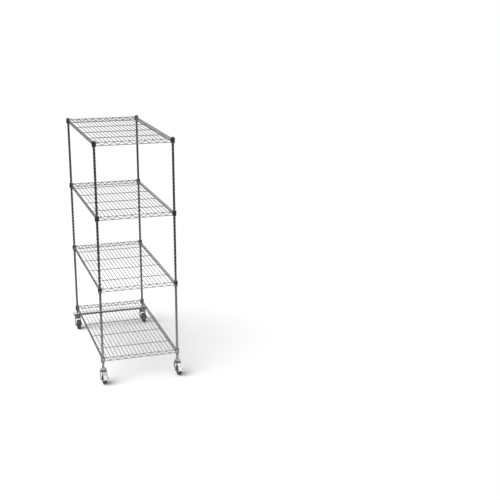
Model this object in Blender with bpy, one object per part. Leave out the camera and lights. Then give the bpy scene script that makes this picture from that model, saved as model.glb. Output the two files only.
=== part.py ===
"""A mobile wire shelving rack: four posts, four welded wire shelves held on split sleeves, a rear bar
that the back posts stand in, and four swivel casters, the front pair with toe brakes.

Metres, +Z up. The origin lies on the floor under the middle of the bounding box. -Y is the front, the
end with the brakes. The posts stand at (+-POST_SPACING_X / 2, REAR_Y or FRONT_Y).
"""

import math

import bmesh
import bpy
from mathutils import Matrix, Vector

# Posts
POST_SPACING_X = 0.537
POST_SPACING_Y = 1.194
POST_RADIUS = 0.0080
POST_WALL = 0.0012
POST_BOTTOM = 0.1118
POST_LENGTH = 1.602
POST_TOP = POST_BOTTOM + POST_LENGTH
CAP_DOME = 0.0017
CAP_FLAT_RADIUS = 0.0062
CAP_PLUG_DEPTH = 0.012
GAP = 0.0003
OVERLAP = 0.001

# Shelves: heights are measured from the middle of a corner collar
SHELF_COUNT = 4
SHELF_STEP = 0.508
TOP_SHELF_Z = 1.6927
COLLAR_TOP, COLLAR_BOTTOM = 0.0175, -0.0170
COLLAR_TOP_RADIUS, COLLAR_BOTTOM_RADIUS = 0.0150, 0.0144
SLEEVE_TOP, SLEEVE_BOTTOM = 0.0190, -0.0236
SLEEVE_TOP_RADIUS, SLEEVE_BOTTOM_RADIUS = 0.0102, 0.0113
SLEEVE_SLIT = math.radians(14)

# Wires
DECK_WIRES = 19
WIRE_PITCH = POST_SPACING_X / (DECK_WIRES + 1)
DECK_WIRE = 0.0042
CROSS_WIRES = 4
CROSS_PITCH = 0.270
CROSS_WIRE = 0.0048
RAIL_WIRE = 0.0052
END_RAIL_WIRE = 0.0050
SNAKE_WIRE = 0.0044
RAIL_TOP_Z, RAIL_BOTTOM_Z = 0.0090, -0.0140
RAIL_X = POST_SPACING_X / 2 - 0.002
WELD_SINK = 0.0007

# Rear bar, a flat rectangular tube. Its bottom wall is what the rear posts stand on
BAR_LENGTH = 0.599
BAR_DEPTH = 0.058
BAR_HEIGHT = 0.016
BAR_WALL = 0.002
BAR_BACK = 0.0263
BAR_BOTTOM = POST_BOTTOM - GAP - BAR_WALL
BAR_TOP = BAR_BOTTOM + BAR_HEIGHT
SPIGOT_RADIUS = 0.0063
SPIGOT_LENGTH = 0.034

# Casters: distances are measured from the swivel axis, forwards being -Y, and from the floor
WHEEL_RADIUS = 0.038
TRAIL = 0.038
WHEEL_WIDTH = 0.026
TREAD_SHOULDER, TREAD_DROP = 0.004, 0.002
HUB_RADIUS = 0.028
HUB_WIDTH = 0.036
HUB_RIM_INSET = 0.001
HUB_BOSS_RADIUS, HUB_WEB_RADIUS = 0.010, 0.012
HUB_WEB_HALF = 0.005
AXLE_RADIUS = 0.004
AXLE_BORE = 0.0046
AXLE_HEAD_RADIUS, AXLE_HEAD = 0.0070, 0.004
LEG_OUTER_X = 0.0235
LEG_THICKNESS = 0.0025
LEG_INNER_X = LEG_OUTER_X - LEG_THICKNESS
LEG_LOBE = 0.012
CROWN_BOTTOM, CROWN_TOP = 0.0800, 0.0830
CROWN_REACH = 0.0235
LEG_REAR, LEG_FRONT = -0.013, 0.014
CUP_RADIUS = 0.0230
CUP_FOOT_RADIUS, CUP_FOOT = 0.0190, 0.003
CUP_TOP = 0.0900
KINGPIN_RADIUS = 0.0050
KINGPIN_HEAD_RADIUS = 0.0080
KINGPIN_BOTTOM, KINGPIN_HEAD_TOP = 0.0745, 0.0794
KINGPIN_BORE = 0.0057
STEM_RADIUS = 0.0063
STEM_TOP = 0.152
HORN_RADIUS, HORN_LIP = 0.0092, 0.0018
BEARING_HEIGHT = 0.0034
BEARING_INNER, BEARING_OUTER = 0.0100, 0.0200
RACE = CUP_TOP + 2 * GAP + BEARING_HEIGHT
PLATE_X, PLATE_Y, PLATE_THICKNESS = 0.060, 0.050, 0.003
DISH_RADIUS = 0.0205

# Toe brake, held between two ears that stand in front of the fork's crown
PIN_FORWARD, PIN_Z, PIN_RADIUS = 0.046, 0.084, 0.0025
PIN_BORE = 0.0033
PIN_HALF_LENGTH = 0.0180
EAR_INNER_X, EAR_THICKNESS = 0.0140, 0.0025
SHOE_INNER, SHOE_OUTER = 0.0455, 0.0485
PEDAL_WIDTH = 0.026
TOE_WIDTH = 0.040
PEDAL_REACH = 0.095

# The rack sits so that its bounding box is centred on Y = 0
CENTRE_Y = (PEDAL_REACH - BAR_BACK) / 2
FRONT_Y = CENTRE_Y - POST_SPACING_Y / 2
REAR_Y = CENTRE_Y + POST_SPACING_Y / 2
LEFT_X, RIGHT_X = -POST_SPACING_X / 2, POST_SPACING_X / 2
CORNERS = {
    "front_left": (LEFT_X, FRONT_Y),
    "front_right": (RIGHT_X, FRONT_Y),
    "rear_left": (LEFT_X, REAR_Y),
    "rear_right": (RIGHT_X, REAR_Y),
}

TUBE_SIDES = 10
WHEEL_SIDES = 16

# name: base colour, metallic, roughness
FINISHES = {
    "chrome_wire": ((0.62, 0.63, 0.65), 1.0, 0.22),
    "chrome_post": ((0.50, 0.51, 0.53), 1.0, 0.18),
    "zinc_steel": ((0.66, 0.67, 0.69), 1.0, 0.35),
    "grey_nylon": ((0.16, 0.16, 0.17), 0.0, 0.50),
    "black_cap": ((0.05, 0.05, 0.05), 0.0, 0.45),
    "dark_rubber": ((0.06, 0.06, 0.06), 0.0, 0.75),
    "hub_nylon": ((0.35, 0.36, 0.37), 0.0, 0.45),
}


def clear_scene():
    for old in list(bpy.data.objects):
        bpy.data.objects.remove(old, do_unlink=True)


def finish(name):
    """The material of that name, made the first time it is asked for."""
    material = bpy.data.materials.get(name)
    if material:
        return material
    colour, metallic, roughness = FINISHES[name]
    material = bpy.data.materials.new(name)
    material.use_nodes = True
    shader = material.node_tree.nodes["Principled BSDF"]
    shader.inputs["Base Color"].default_value = (*colour, 1.0)
    shader.inputs["Metallic"].default_value = metallic
    shader.inputs["Roughness"].default_value = roughness
    return material


def to_mesh(bm, name):
    bmesh.ops.recalc_face_normals(bm, faces=bm.faces)
    mesh = bpy.data.meshes.new(name)
    bm.to_mesh(mesh)
    bm.free()
    mesh.shade_smooth()
    mesh.set_sharp_from_angle(angle=math.radians(35))
    return mesh


def place(name, mesh, look, location=(0, 0, 0), parent=None):
    obj = bpy.data.objects.new(name, mesh)
    mesh.materials.clear()
    mesh.materials.append(finish(look))
    obj.location = location
    obj.parent = parent
    bpy.context.collection.objects.link(obj)
    return obj


def pivot(name, location, parent=None):
    """An empty on a joint's axis, which carries the pieces that turn about it."""
    empty = bpy.data.objects.new(name, None)
    empty.empty_display_size = 0.03
    empty.location = location
    empty.parent = parent
    bpy.context.collection.objects.link(empty)
    return empty


def circle(radius, sides, turn=0.0, centre=(0.0, 0.0)):
    angles = [turn + math.tau * i / sides for i in range(sides)]
    return [(centre[0] + radius * math.cos(a), centre[1] + radius * math.sin(a)) for a in angles]


def arc(centre, radius, start, end, steps):
    """Points on a circle from one angle to another, in degrees, ends included."""
    angles = [math.radians(start + (end - start) * i / steps) for i in range(steps + 1)]
    return [(centre[0] + radius * math.cos(a), centre[1] + radius * math.sin(a)) for a in angles]


def turned(bm, profile, sides, ring, axis="Z", turn=0.0):
    """Turns (radius, height) points about Z or X. A ring's profile is a loop clear of the axis."""
    rows = []
    for radius, height in profile:
        row = circle(radius, sides, turn) if radius else [(0.0, 0.0)]
        rows.append([bm.verts.new((x, y, height)) for x, y in row])
    ends = rows[1:] + rows[:1] if ring else rows[1:]
    for low, high in zip(rows, ends):
        for i in range(sides):
            j = (i + 1) % sides
            corners = [low[i % len(low)], low[j % len(low)], high[j % len(high)], high[i % len(high)]]
            bm.faces.new(list(dict.fromkeys(corners)))
    if axis == "X":
        points = [v for row in rows for v in row]
        bmesh.ops.rotate(bm, verts=points, cent=(0, 0, 0), matrix=Matrix.Rotation(math.pi / 2, 3, "Y"))


def turned_mesh(name, profile, sides=TUBE_SIDES, ring=True, axis="Z", turn=0.0):
    bm = bmesh.new()
    turned(bm, profile, sides, ring, axis, turn)
    return to_mesh(bm, name)


def slab(bm, outline, thickness, axes, holes=()):
    """A flat outline, with any holes, extruded both ways from the plane by half the thickness.

    axes are the outline's two directions in space; the slab's thickness runs along their cross product.
    """
    across, up = Vector(axes[0]), Vector(axes[1])
    normal = across.cross(up)
    edges = []
    for loop in (outline, *holes):
        points = [bm.verts.new(across * a + up * b - normal * thickness / 2) for a, b in loop]
        edges += [bm.edges.new((points[i - 1], points[i])) for i in range(len(points))]
    made = bmesh.ops.triangle_fill(bm, use_beauty=True, use_dissolve=False, edges=edges)
    faces = [item for item in made["geom"] if isinstance(item, bmesh.types.BMFace)]
    grown = bmesh.ops.extrude_face_region(bm, geom=faces, use_keep_orig=True)["geom"]
    top = [item for item in grown if isinstance(item, bmesh.types.BMVert)]
    bmesh.ops.translate(bm, verts=top, vec=normal * thickness)


def rod(bm, start, end, section):
    """A straight bar from start to end, both along one axis. section is its (sideways, up) outline."""
    run = Vector(end) - Vector(start)
    side = Vector((1, 0, 0)) if abs(run.y) > abs(run.x) else Vector((0, 1, 0))
    tips = []
    for tip in (Vector(start), Vector(end)):
        tips.append([bm.verts.new(tip + side * a + Vector((0, 0, b))) for a, b in section])
    for i in range(len(section)):
        bm.faces.new((tips[0][i - 1], tips[0][i], tips[1][i], tips[1][i - 1]))
    bm.faces.new(tips[0])
    bm.faces.new(tips[1])


def block(bm, low, high):
    made = bmesh.ops.create_cube(bm, size=1.0)["verts"]
    size = Vector(high) - Vector(low)
    bmesh.ops.scale(bm, verts=made, vec=size)
    bmesh.ops.translate(bm, verts=made, vec=(Vector(low) + Vector(high)) / 2)


def joined(name, first, others, operation="UNION"):
    """One mesh from several bmeshes, added to the first or cut from it."""
    helpers = []
    for i, bm in enumerate([first, *others]):
        helpers.append(bpy.data.objects.new(f"{name}_{i}", to_mesh(bm, name)))
        bpy.context.collection.objects.link(helpers[-1])
    for other in helpers[1:]:
        step = helpers[0].modifiers.new("join", "BOOLEAN")
        step.operation = operation
        step.object = other
        step.solver = "EXACT"
    graph = bpy.context.evaluated_depsgraph_get()
    mesh = bpy.data.meshes.new_from_object(helpers[0].evaluated_get(graph))
    mesh.name = name
    for helper in helpers:
        bpy.data.objects.remove(helper, do_unlink=True)
    mesh.shade_smooth()
    mesh.set_sharp_from_angle(angle=math.radians(35))
    return mesh


def cross_at(count, pitch):
    """Evenly pitched places, centred on nought."""
    return [(i - (count - 1) / 2) * pitch for i in range(count)]


# --- posts -------------------------------------------------------------------------------------------


def post_mesh():
    inner = POST_RADIUS - POST_WALL
    loop = [(inner, 0), (POST_RADIUS, 0), (POST_RADIUS, POST_LENGTH), (inner, POST_LENGTH)]
    return turned_mesh("post", loop)


def cap_mesh():
    """A plug for the tube's top with a low dome over its rim."""
    plug = POST_RADIUS - POST_WALL - GAP
    chain = [
        (0, -CAP_PLUG_DEPTH),
        (plug, -CAP_PLUG_DEPTH),
        (plug, GAP),
        (POST_RADIUS, GAP),
        (CAP_FLAT_RADIUS, CAP_DOME),
        (0, CAP_DOME),
    ]
    return turned_mesh("post_cap", chain, ring=False)


def make_posts():
    post, cap = post_mesh(), cap_mesh()
    for corner, (x, y) in CORNERS.items():
        place(f"post_{corner}", post, "chrome_post", (x, y, POST_BOTTOM))
        place(f"post_cap_{corner}", cap, "black_cap", (x, y, POST_TOP))


# --- shelves -----------------------------------------------------------------------------------------


def sleeve_mesh():
    """A tapered split sleeve round the post, thicker below, open at one slit."""
    bore = POST_RADIUS + GAP
    loop = [
        (bore, SLEEVE_BOTTOM),
        (SLEEVE_BOTTOM_RADIUS, SLEEVE_BOTTOM),
        (SLEEVE_TOP_RADIUS, SLEEVE_TOP),
        (bore, SLEEVE_TOP),
    ]
    bm = bmesh.new()
    rows = []
    for i in range(TUBE_SIDES + 1):
        angle = SLEEVE_SLIT / 2 + (math.tau - SLEEVE_SLIT) * i / TUBE_SIDES
        rows.append([bm.verts.new((r * math.cos(angle), r * math.sin(angle), z)) for r, z in loop])
    for near, far in zip(rows, rows[1:]):
        for k in range(len(loop)):
            bm.faces.new((near[k - 1], near[k], far[k], far[k - 1]))
    bm.faces.new(rows[0])
    bm.faces.new(rows[-1])
    return to_mesh(bm, "sleeve")


def collar(bm, x, y):
    """A conical ring whose bore follows the sleeve's taper."""
    slope = (SLEEVE_BOTTOM_RADIUS - SLEEVE_TOP_RADIUS) / (SLEEVE_TOP - SLEEVE_BOTTOM)
    clearance = 2 * GAP
    bore = [SLEEVE_TOP_RADIUS + clearance + slope * (SLEEVE_TOP - z) for z in (COLLAR_BOTTOM, COLLAR_TOP)]
    loop = [
        (bore[0], COLLAR_BOTTOM),
        (COLLAR_BOTTOM_RADIUS, COLLAR_BOTTOM),
        (COLLAR_TOP_RADIUS, COLLAR_TOP),
        (bore[1], COLLAR_TOP),
    ]
    before = set(bm.verts)
    turned(bm, loop, TUBE_SIDES, ring=True)
    bmesh.ops.translate(bm, verts=[v for v in bm.verts if v not in before], vec=(x, y, 0))


def square(width):
    half = width / 2
    return [(-half, -half), (half, -half), (half, half), (-half, half)]


def snake(bm, half_length, half_waves, axes, offset):
    """The zigzag wire between a truss's two rails, as a flat ribbon that runs into both collars."""
    top = RAIL_TOP_Z - RAIL_WIRE / 2 - GAP
    bottom = RAIL_BOTTOM_Z + RAIL_WIRE / 2 + GAP
    places = cross_at(half_waves + 1, WIRE_PITCH)
    steep = SNAKE_WIRE * math.hypot(WIRE_PITCH, top - bottom) / WIRE_PITCH
    upper, lower = [], []
    for i, at in enumerate(places):
        crest = i % 2 == 0
        upper.append((at, top if crest else bottom + steep))
        lower.append((at, top - steep if crest else bottom))
    middle = (top + bottom) / 2
    for chain in (upper, lower):
        lift = SNAKE_WIRE / 2 if chain is upper else -SNAKE_WIRE / 2
        chain.insert(0, (-half_length, middle + lift))
        chain.append((half_length, middle + lift))
    before = set(bm.verts)
    slab(bm, lower + upper[::-1], SNAKE_WIRE, axes)
    bmesh.ops.translate(bm, verts=[v for v in bm.verts if v not in before], vec=offset)


def collar_reach(offset):
    """How far from a post's axis a wire at this sideways offset ends, inside the collar's wall."""
    middle_of_wall = (COLLAR_BOTTOM_RADIUS * math.cos(math.pi / TUBE_SIDES) + SLEEVE_BOTTOM_RADIUS + GAP) / 2
    return math.sqrt(middle_of_wall**2 - offset**2)


def side_trusses(half_y):
    """The two long trusses: a top rail, a bottom rail and the snake wire between them."""
    bm = bmesh.new()
    reach = half_y - collar_reach(POST_SPACING_X / 2 - RAIL_X + RAIL_WIRE / 2)
    half_waves = int(2 * (half_y - COLLAR_TOP_RADIUS) / WIRE_PITCH)
    for x in (-RAIL_X, RAIL_X):
        for z in (RAIL_TOP_Z, RAIL_BOTTOM_Z):
            rod(bm, (x, -reach, z), (x, reach, z), square(RAIL_WIRE))
        snake(bm, reach, half_waves, ((0, 1, 0), (0, 0, 1)), (x, 0, 0))
    return bm


def end_trusses(half_x, half_y):
    """The two short trusses, which carry the ends of the deck wires."""
    bm = bmesh.new()
    reach = half_x - collar_reach(END_RAIL_WIRE / 2)
    half_waves = DECK_WIRES - 1
    for y in (-half_y, half_y):
        for z in (RAIL_TOP_Z, RAIL_BOTTOM_Z):
            rod(bm, (-reach, y, z), (reach, y, z), square(END_RAIL_WIRE))
        snake(bm, reach, half_waves, ((1, 0, 0), (0, 0, 1)), (0, y, 0))
    return bm


def frame_mesh():
    """A shelf's welded rim: four collars joined by trusses."""
    half_x, half_y = POST_SPACING_X / 2, POST_SPACING_Y / 2
    collars = bmesh.new()
    for x in (-half_x, half_x):
        for y in (-half_y, half_y):
            collar(collars, x, y)
    return joined("shelf_frame", collars, [side_trusses(half_y), end_trusses(half_x, half_y)])


def deck_mesh():
    """A shelf's deck: long wires welded on top of four cross wires, which are level with the rails."""
    half = DECK_WIRE / 2
    widest, flat = -0.2 * half, 0.7 * half
    flat_topped = [(0, -half), (half, widest), (flat, half), (-flat, half), (-half, widest)]
    cross_half = CROSS_WIRE / 2
    ridged = [(0, -cross_half), (cross_half, 0), (0, cross_half), (-cross_half, 0)]
    deck_z = RAIL_TOP_Z + max(RAIL_WIRE / 2 + GAP, cross_half - WELD_SINK) + half
    long_y = POST_SPACING_Y / 2 + RAIL_WIRE / 2
    cross_x = RAIL_X - RAIL_WIRE / 2 - GAP
    cross_z = deck_z - half - cross_half + WELD_SINK
    long_wires, cross_wires = bmesh.new(), bmesh.new()
    for x in cross_at(DECK_WIRES, WIRE_PITCH):
        rod(long_wires, (x, -long_y, deck_z), (x, long_y, deck_z), flat_topped)
    for y in cross_at(CROSS_WIRES, CROSS_PITCH):
        rod(cross_wires, (-cross_x, y, cross_z), (cross_x, y, cross_z), ridged)
    return joined("shelf_deck", long_wires, [cross_wires])


def make_shelves():
    """Shelves are numbered from the floor up."""
    frame, deck, sleeve = frame_mesh(), deck_mesh(), sleeve_mesh()
    for i in range(SHELF_COUNT):
        z = TOP_SHELF_Z - (SHELF_COUNT - 1 - i) * SHELF_STEP
        place(f"shelf_{i + 1}_frame", frame, "chrome_wire", (0, CENTRE_Y, z))
        place(f"shelf_{i + 1}_deck", deck, "chrome_wire", (0, CENTRE_Y, z))
        for corner, (x, y) in CORNERS.items():
            place(f"sleeve_{i + 1}_{corner}", sleeve, "grey_nylon", (x, y, z))


# --- rear bar ----------------------------------------------------------------------------------------


def make_rear_bar():
    """A flat tube with two round openings on top. The rear posts drop through them onto welded spigots."""
    back = REAR_Y + BAR_BACK
    front = back - BAR_DEPTH
    half = BAR_LENGTH / 2
    shell, core, openings, spigots = bmesh.new(), bmesh.new(), bmesh.new(), bmesh.new()
    block(shell, (-half, front, BAR_BOTTOM), (half, back, BAR_TOP))
    inside_low = (-half - OVERLAP, front + BAR_WALL, BAR_BOTTOM + BAR_WALL)
    inside_high = (half + OVERLAP, back - BAR_WALL, BAR_TOP - BAR_WALL)
    block(core, inside_low, inside_high)
    middle, above = (BAR_BOTTOM + BAR_TOP) / 2, BAR_TOP + OVERLAP
    opening = POST_RADIUS + 2 * GAP
    cutter = [(0, middle), (opening, middle), (opening, above), (0, above)]
    foot, tip = BAR_BOTTOM + OVERLAP, POST_BOTTOM + SPIGOT_LENGTH
    spigot = [(0, foot), (SPIGOT_RADIUS, foot), (SPIGOT_RADIUS, tip), (0, tip)]
    for x in (LEFT_X, RIGHT_X):
        for target, chain in ((openings, cutter), (spigots, spigot)):
            before = set(target.verts)
            turned(target, chain, TUBE_SIDES, ring=False)
            fresh = [v for v in target.verts if v not in before]
            bmesh.ops.translate(target, verts=fresh, vec=(x, REAR_Y, 0))
    tube = bmesh.new()
    tube.from_mesh(joined("tube", shell, [core, openings], "DIFFERENCE"))
    place("rear_bar", joined("rear_bar", tube, [spigots]), "zinc_steel")


# --- casters -----------------------------------------------------------------------------------------


def stem_mesh():
    """The stem, its flared upper race and the kingpin that the fork turns on."""
    chain = [
        (0, STEM_TOP),
        (STEM_RADIUS, STEM_TOP),
        (STEM_RADIUS, POST_BOTTOM - GAP),
        (HORN_RADIUS, POST_BOTTOM - GAP),
        (CUP_RADIUS, RACE + HORN_LIP),
        (CUP_RADIUS, RACE),
        *kingpin(RACE),
    ]
    return turned_mesh("caster_stem", chain, ring=False)


def kingpin(top):
    """The lower part of a stem's or plate's profile, from the race inwards and down to the riveted head."""
    return [
        (KINGPIN_RADIUS, top),
        (KINGPIN_RADIUS, KINGPIN_HEAD_TOP),
        (KINGPIN_HEAD_RADIUS, KINGPIN_HEAD_TOP),
        (KINGPIN_HEAD_RADIUS, KINGPIN_BOTTOM),
        (0, KINGPIN_BOTTOM),
    ]


def plate_mesh():
    """The plate under the rear bar, with its dished upper race and kingpin."""
    top = BAR_BOTTOM - GAP
    bottom = top - PLATE_THICKNESS
    plate, dish = bmesh.new(), bmesh.new()
    block(plate, (-PLATE_X / 2, -PLATE_Y / 2, bottom), (PLATE_X / 2, PLATE_Y / 2, top))
    chain = [(0, bottom + OVERLAP), (DISH_RADIUS, bottom + OVERLAP), (CUP_RADIUS, RACE), *kingpin(RACE)]
    turned(dish, chain, TUBE_SIDES, ring=False)
    return joined("caster_plate", plate, [dish])


def bearing_mesh():
    bottom = CUP_TOP + GAP
    top = bottom + BEARING_HEIGHT
    loop = [(BEARING_INNER, bottom), (BEARING_OUTER, bottom), (BEARING_OUTER, top), (BEARING_INNER, top)]
    return turned_mesh("swivel_bearing", loop)


def leg_outline():
    """A fork leg's side view as (forwards, height): straight down from the crown, then swept to the axle."""
    lobe = arc((TRAIL, WHEEL_RADIUS), LEG_LOBE, 230, 450, 6)
    heel = [(LEG_REAR, CROWN_TOP), (LEG_REAR, 0.052), (-0.004, 0.042)]
    instep = [(0.028, 0.056), (LEG_FRONT, 0.066), (LEG_FRONT, CROWN_TOP)]
    return heel + lobe + instep


def crown_outline():
    """The crown from above as (x, y), as wide as the legs and rounded towards front and rear."""
    side, tip = LEG_INNER_X + LEG_THICKNESS / 2, CROWN_REACH / 2
    return [
        (-side, -LEG_FRONT),
        (-tip, -CROWN_REACH),
        (tip, -CROWN_REACH),
        (side, -LEG_FRONT),
        (side, -LEG_REAR),
        (tip, CROWN_REACH),
        (-tip, CROWN_REACH),
        (-side, -LEG_REAR),
    ]


def ear_outline():
    """One of the two ears in front of the crown, which hold the brake's pin, as (forwards, height)."""
    lower_edge = [(0.017, 0.0805), (0.052, 0.0790)]
    upper_edge = [(0.053, 0.0860), (0.049, 0.0895), (0.042, 0.0895), (0.017, 0.0860)]
    return lower_edge + upper_edge


def mirrored_slabs(bm, outline, thickness, centre_x, holes=()):
    """Two upright plates at -x and +x."""
    for x in (-centre_x, centre_x):
        before = set(bm.verts)
        slab(bm, outline, thickness, ((0, -1, 0), (0, 0, 1)), holes)
        bmesh.ops.translate(bm, verts=[v for v in bm.verts if v not in before], vec=(x, 0, 0))


def fork_mesh(braked):
    """A pressed fork: a crown with a dished race on top, and two legs that sweep forwards to the axle."""
    legs, crown, cup = bmesh.new(), bmesh.new(), bmesh.new()
    axle_hole = circle(AXLE_RADIUS + GAP, 8, centre=(TRAIL, WHEEL_RADIUS))
    mirrored_slabs(legs, leg_outline(), LEG_THICKNESS, LEG_OUTER_X - LEG_THICKNESS / 2, [axle_hole])
    thickness = CROWN_TOP - CROWN_BOTTOM - GAP
    slab(crown, crown_outline(), thickness, ((1, 0, 0), (0, 1, 0)), [circle(KINGPIN_BORE, TUBE_SIDES)])
    bmesh.ops.translate(crown, verts=list(crown.verts), vec=(0, 0, (CROWN_BOTTOM + CROWN_TOP) / 2))
    loop = [
        (KINGPIN_BORE + 2 * GAP, CROWN_TOP - OVERLAP),
        (CUP_FOOT_RADIUS, CROWN_TOP - OVERLAP),
        (CUP_RADIUS, CROWN_TOP + CUP_FOOT),
        (CUP_RADIUS, CUP_TOP),
        (KINGPIN_BORE + 2 * GAP, CUP_TOP),
    ]
    turned(cup, loop, TUBE_SIDES, ring=True)
    parts = [crown, cup]
    if braked:
        ears = bmesh.new()
        pin_hole = circle(PIN_BORE, 8, centre=(PIN_FORWARD, PIN_Z))
        mirrored_slabs(ears, ear_outline(), EAR_THICKNESS, EAR_INNER_X + EAR_THICKNESS / 2, [pin_hole])
        parts.append(ears)
    return joined("fork", legs, parts)


def axle_mesh():
    """The axle bolt with its head on one side of the fork and its nut on the other."""
    outer = LEG_OUTER_X + GAP
    head = outer + AXLE_HEAD
    chain = [
        (0, -head),
        (AXLE_HEAD_RADIUS, -head),
        (AXLE_HEAD_RADIUS, -outer),
        (AXLE_RADIUS, -outer),
        (AXLE_RADIUS, outer),
        (AXLE_HEAD_RADIUS, outer),
        (AXLE_HEAD_RADIUS, head),
        (0, head),
    ]
    return turned_mesh("axle", chain, sides=8, ring=False, axis="X")


def wheel_turn():
    """Turns the wheel's sides so that one lies flat on the floor."""
    return math.pi / WHEEL_SIDES


def tread_mesh():
    rim, half = HUB_RADIUS + GAP, WHEEL_WIDTH / 2
    outer = WHEEL_RADIUS / math.cos(math.pi / WHEEL_SIDES)
    loop = [
        (rim, -half),
        (outer - TREAD_DROP, -half),
        (outer, TREAD_SHOULDER - half),
        (outer, half - TREAD_SHOULDER),
        (outer - TREAD_DROP, half),
        (rim, half),
    ]
    return turned_mesh("wheel_tread", loop, WHEEL_SIDES, axis="X", turn=wheel_turn())


def hub_mesh():
    half, boss = WHEEL_WIDTH / 2 - HUB_RIM_INSET, HUB_WIDTH / 2
    loop = [
        (AXLE_BORE, -boss),
        (HUB_BOSS_RADIUS, -boss),
        (HUB_WEB_RADIUS, -HUB_WEB_HALF),
        (HUB_RADIUS, -half),
        (HUB_RADIUS, half),
        (HUB_WEB_RADIUS, HUB_WEB_HALF),
        (HUB_BOSS_RADIUS, boss),
        (AXLE_BORE, boss),
    ]
    return turned_mesh("wheel_hub", loop, WHEEL_SIDES, axis="X", turn=wheel_turn())


def pedal_mesh():
    """The toe brake: a shoe curved round the wheel's front, hung on a pin, with a narrow and a wide toe."""
    axle = (TRAIL, WHEEL_RADIUS)
    outer = arc(axle, SHOE_OUTER, 80, 58, 2)
    upper_toe = [(0.0775, 0.0830), (0.0790, 0.0800), (0.0700, 0.0765)]
    outer_low = arc(axle, SHOE_OUTER, 42, 24, 2)
    shoe_foot = [(PEDAL_REACH - 0.004, 0.0510), (PEDAL_REACH - 0.004, 0.0480), (0.0845, 0.0480)]
    inner = arc(axle, SHOE_INNER, 12, 80, 6)
    lower_toe = [(0.0860, 0.0535), (PEDAL_REACH, 0.0505), (PEDAL_REACH - 0.0015, 0.0470), (0.0860, 0.0475)]
    shoe, toe, pin = bmesh.new(), bmesh.new(), bmesh.new()
    upright = ((0, -1, 0), (0, 0, 1))
    slab(shoe, outer + upper_toe + outer_low + shoe_foot + inner, PEDAL_WIDTH, upright)
    slab(toe, lower_toe, TOE_WIDTH, upright)
    half = PIN_HALF_LENGTH
    turned(pin, [(0, -half), (PIN_RADIUS, -half), (PIN_RADIUS, half), (0, half)], 6, ring=False, axis="X")
    bmesh.ops.translate(pin, verts=list(pin.verts), vec=(0, -PIN_FORWARD, PIN_Z))
    return joined("brake_pedal", shoe, [toe, pin])


def shifted(mesh, x, y, z):
    """The same mesh measured from a new origin, so that the object's origin lies on its joint's axis."""
    moved = mesh.copy()
    moved.transform(Matrix.Translation((-x, -y, -z)))
    return moved


def make_casters():
    stem, plate, bearing, axle = stem_mesh(), plate_mesh(), bearing_mesh(), axle_mesh()
    tread, hub = tread_mesh(), hub_mesh()
    braked_fork, plain_fork = fork_mesh(braked=True), fork_mesh(braked=False)
    pedal = shifted(pedal_mesh(), 0, -PIN_FORWARD, PIN_Z)
    for corner, (x, y) in CORNERS.items():
        front = corner.startswith("front")
        swivel = pivot(f"swivel_axis_{corner}", (x, y, 0))
        if front:
            place(f"caster_stem_{corner}", stem, "zinc_steel", (x, y, 0))
        else:
            place(f"caster_plate_{corner}", plate, "zinc_steel", (x, y, 0))
        place(f"swivel_bearing_{corner}", bearing, "zinc_steel", parent=swivel)
        place(f"fork_{corner}", braked_fork if front else plain_fork, "zinc_steel", parent=swivel)
        spin = pivot(f"wheel_axis_{corner}", (0, -TRAIL, WHEEL_RADIUS), swivel)
        place(f"axle_{corner}", axle, "zinc_steel", (0, -TRAIL, WHEEL_RADIUS), swivel)
        place(f"wheel_tread_{corner}", tread, "dark_rubber", parent=spin)
        place(f"wheel_hub_{corner}", hub, "hub_nylon", parent=spin)
        if front:
            place(f"brake_pedal_{corner}", pedal, "zinc_steel", (0, -PIN_FORWARD, PIN_Z), swivel)


def main():
    clear_scene()
    make_posts()
    make_shelves()
    make_rear_bar()
    make_casters()


main()
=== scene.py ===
"""The looks of a mobile wire shelving rack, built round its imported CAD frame.

Metres, +Z up, -Y is the front, the end with the toe brakes. Places come from the frame's nodes.
Sizes of the details that the solids leave out are named below.
"""

import math

import bmesh
import bpy
from mathutils import Matrix, Vector


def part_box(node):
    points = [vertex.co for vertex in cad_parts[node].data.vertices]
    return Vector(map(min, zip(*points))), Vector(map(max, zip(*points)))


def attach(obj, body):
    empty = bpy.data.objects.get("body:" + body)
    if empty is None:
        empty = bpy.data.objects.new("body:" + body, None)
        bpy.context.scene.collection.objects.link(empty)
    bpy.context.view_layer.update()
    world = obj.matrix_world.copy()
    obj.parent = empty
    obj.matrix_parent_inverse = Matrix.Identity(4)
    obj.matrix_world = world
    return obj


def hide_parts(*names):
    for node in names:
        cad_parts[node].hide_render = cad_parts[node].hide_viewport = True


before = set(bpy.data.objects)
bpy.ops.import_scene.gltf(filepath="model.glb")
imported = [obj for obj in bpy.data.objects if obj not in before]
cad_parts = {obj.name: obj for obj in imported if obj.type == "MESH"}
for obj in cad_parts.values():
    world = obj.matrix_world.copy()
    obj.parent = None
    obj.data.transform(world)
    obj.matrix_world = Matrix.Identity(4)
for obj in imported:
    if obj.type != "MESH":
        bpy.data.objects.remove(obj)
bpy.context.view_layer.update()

FRONT_CORNERS = ("front_left", "front_right")
REAR_CORNERS = ("rear_left", "rear_right")
CORNERS = FRONT_CORNERS + REAR_CORNERS
SHELVES = (1, 2, 3, 4)
GAP = 0.0003
CREASE = 38
EASE_ANGLE = 42

# Posts: a groove is rolled round them at every inch. GROOVE_SECTION holds (share of the groove's
# half width, share of its depth), and no groove comes nearer to an end than GROOVE_CLEARANCE
GROOVE_PITCH = 0.0254
GROOVE_HALF = 0.0013
GROOVE_DEPTH = 0.0006
GROOVE_SECTION = (
    (-1.0, 0.0), (-0.72, 0.18), (-0.40, 0.75), (0.0, 1.0), (0.40, 0.75), (0.72, 0.18), (1.0, 0.0),
)
GROOVE_CLEARANCE = 0.004
POST_WALL = 0.0014
POST_SIDES = 36
CAP_RIBS = 3
CAP_RIB_PITCH = 0.0026

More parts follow.
